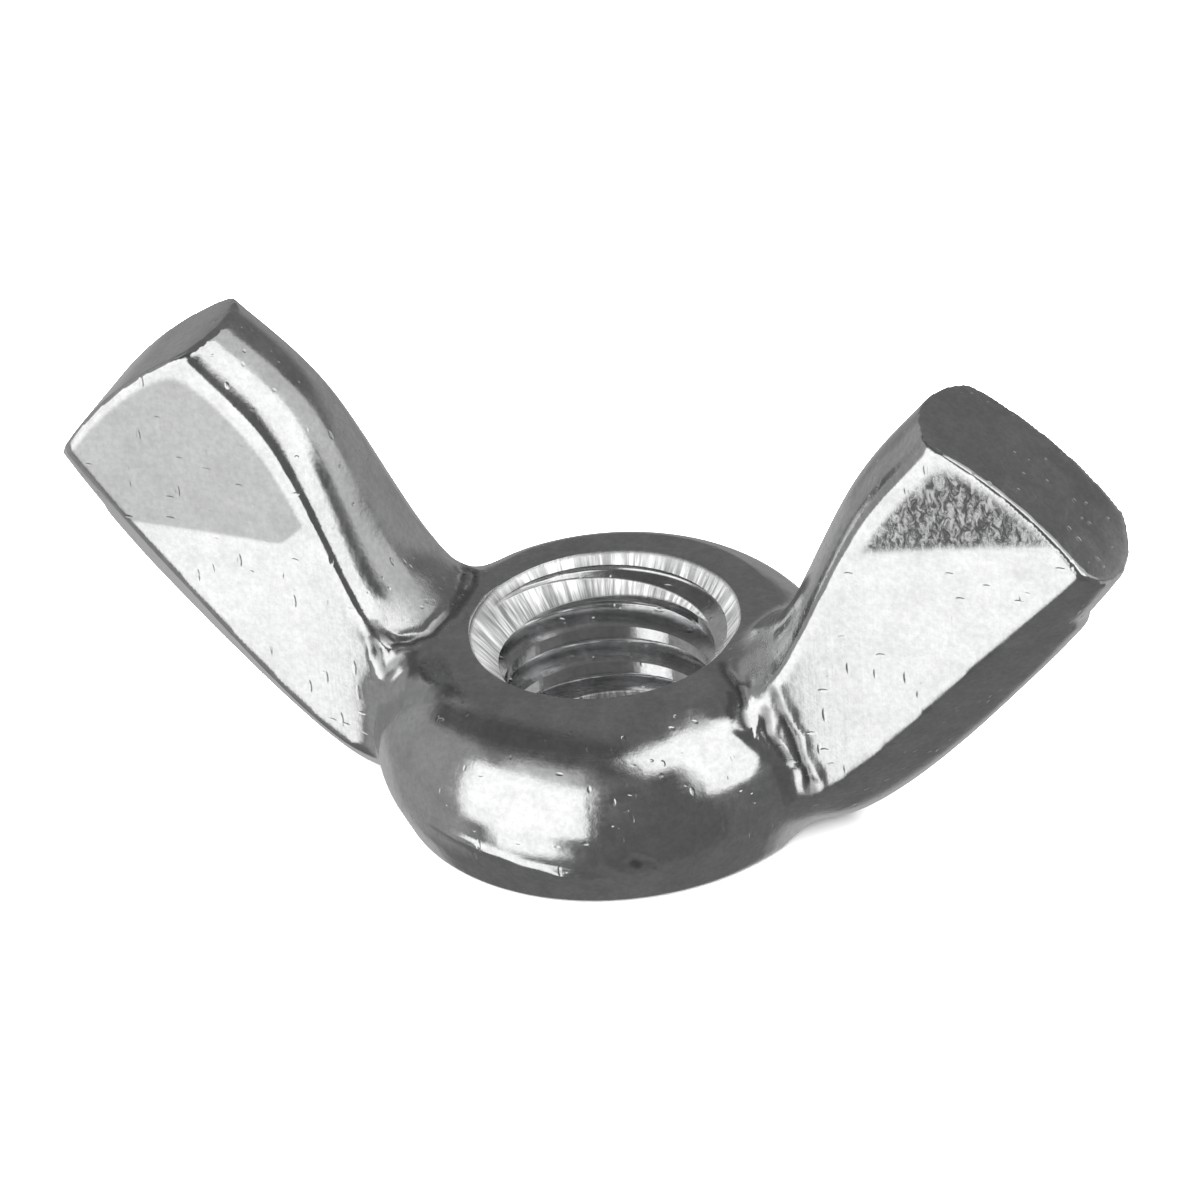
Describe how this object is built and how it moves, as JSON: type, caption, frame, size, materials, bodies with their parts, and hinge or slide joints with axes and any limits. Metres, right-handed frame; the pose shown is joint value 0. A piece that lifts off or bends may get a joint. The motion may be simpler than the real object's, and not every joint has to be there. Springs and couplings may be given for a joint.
{
  "type": "wing nut",
  "caption": "Forged wing nut: a barrel hub with a tapped through bore and two raised, slightly flared wings for turning by hand.",
  "frame": {"origin": "on the bore's axis, in the plane of the bearing face at the bottom of the hub", "axes": "+Z along the bore's axis, from the bearing face towards the wings; +X from the bore to one wing; +Y completes a right-handed frame, so that the wings' front faces look along -Y"},
  "size_m": [0.0258, 0.0112, 0.0118],
  "materials": {
    "zinc_plated_steel": "bright zinc plating over forged steel, dented by tumbling"
  },
  "bodies": {
    "root": {"wing_nut": "zinc_plated_steel"}
  },
  "joints": []
}
